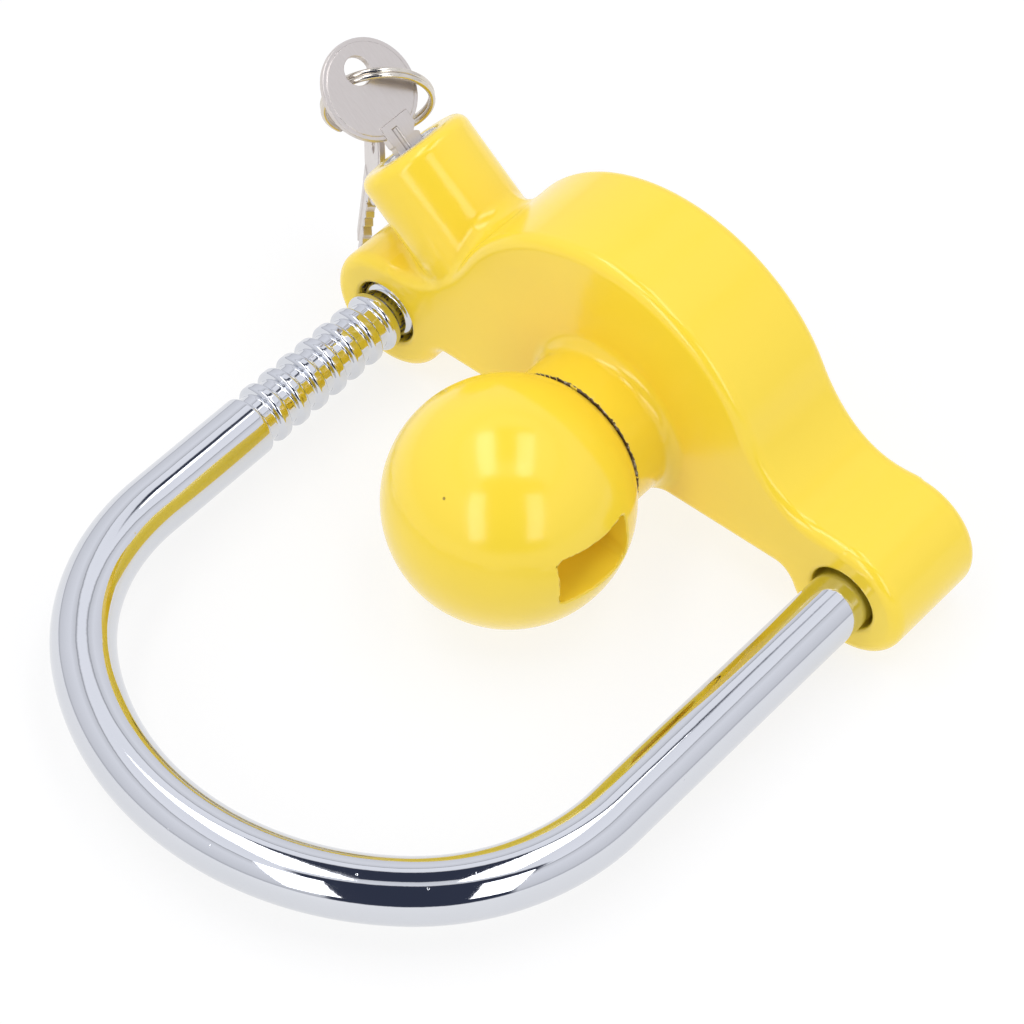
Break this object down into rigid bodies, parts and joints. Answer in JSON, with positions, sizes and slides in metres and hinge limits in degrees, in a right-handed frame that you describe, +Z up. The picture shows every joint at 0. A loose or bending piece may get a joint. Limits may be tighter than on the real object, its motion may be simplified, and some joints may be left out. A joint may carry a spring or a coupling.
{
  "type": "trailer coupler lock",
  "caption": "Ratchet shackle lock for an unhitched trailer coupler: cast body with a ball that fills the coupler's socket, chromed U shackle and key lock.",
  "frame": {"origin": "centre of the ball", "axes": "+X from the lock end to the plain end, -Y towards the shackle's bend, +Z up; the lowest points are the ball and both ears at z = -23.8 mm"},
  "size_m": [0.151, 0.1466, 0.0625],
  "materials": {
    "enamel": "glossy yellow enamel over a casting",
    "chrome": "mirror chrome plating",
    "lock_metal": "plated die casting",
    "nickel": "satin nickel plating with fine scratches",
    "steel": "turned steel, lightly oiled",
    "dark_steel": "blackened steel",
    "brass": "stamped brass"
  },
  "bodies": {
    "casting": {"lock_body": "enamel", "ball": "enamel", "ball_screw": "dark_steel", "ball_washer": "steel", "lock_shell": "lock_metal", "shell_pin": "steel", "pawl_spring": "steel", "pawl_bore_cap": "enamel"},
    "shackle": {"shackle": "chrome"},
    "lock_core": {"lock_plug": "lock_metal", "plug_clip": "steel", "plug_cam": "steel", "cam_pin": "steel", "wafer_springs": "steel"},
    "wafers": {"wafer_1": "brass", "wafer_2": "brass", "wafer_3": "brass", "wafer_4": "brass", "wafer_5": "brass"},
    "pawl": {"pawl": "steel"},
    "key": {"key": "nickel"},
    "key_ring": {"split_ring": "nickel"},
    "spare_key": {"spare_key": "nickel"}
  },
  "joints": [
    {"name": "shackle_slide", "type": "slide", "parent": "casting", "child": "shackle", "axis": [0, 1, 0], "range_m": [-0.0208, 0.0416]},
    {"name": "plug_turn", "type": "hinge", "parent": "casting", "child": "lock_core", "pos_m": [-0.05961, 0.04075, 0.02317], "axis": [0.766, 0, -0.6428], "range_deg": [0, 90]},
    {"name": "pawl_slide", "type": "slide", "parent": "casting", "child": "pawl", "axis": [-0.6428, 0, -0.766], "range_m": [0, 0.0009], "deforming": ["pawl_spring"]},
    {"name": "wafer_drop", "type": "slide", "parent": "lock_core", "child": "wafers", "axis": [0, 1, 0], "range_m": [0, 0.00045], "deforming": ["wafer_springs"]},
    {"name": "key_pull", "type": "slide", "parent": "lock_core", "child": "key", "axis": [-0.766, 0, 0.6428], "range_m": [0, 0.024]},
    {"name": "ring_swing", "type": "hinge", "parent": "key", "child": "key_ring", "pos_m": [-0.0721, 0.04039, 0.03366], "axis": [0.6894, 0.6313, 0.3553], "range_deg": [0, 16]},
    {"name": "spare_key_swing", "type": "hinge", "parent": "key_ring", "child": "spare_key", "pos_m": [-0.07343, 0.04649, 0.01214], "axis": [-0.6614, -0.7427, 0.1044], "range_deg": [-30, 4]}
  ],
  "couplings": [
    {"joint": "pawl_slide", "follows": "plug_turn", "m_per_rad": 0.000572},
    {"joint": "wafer_drop", "follows": "key_pull", "ratio": 0.0187}
  ]
}
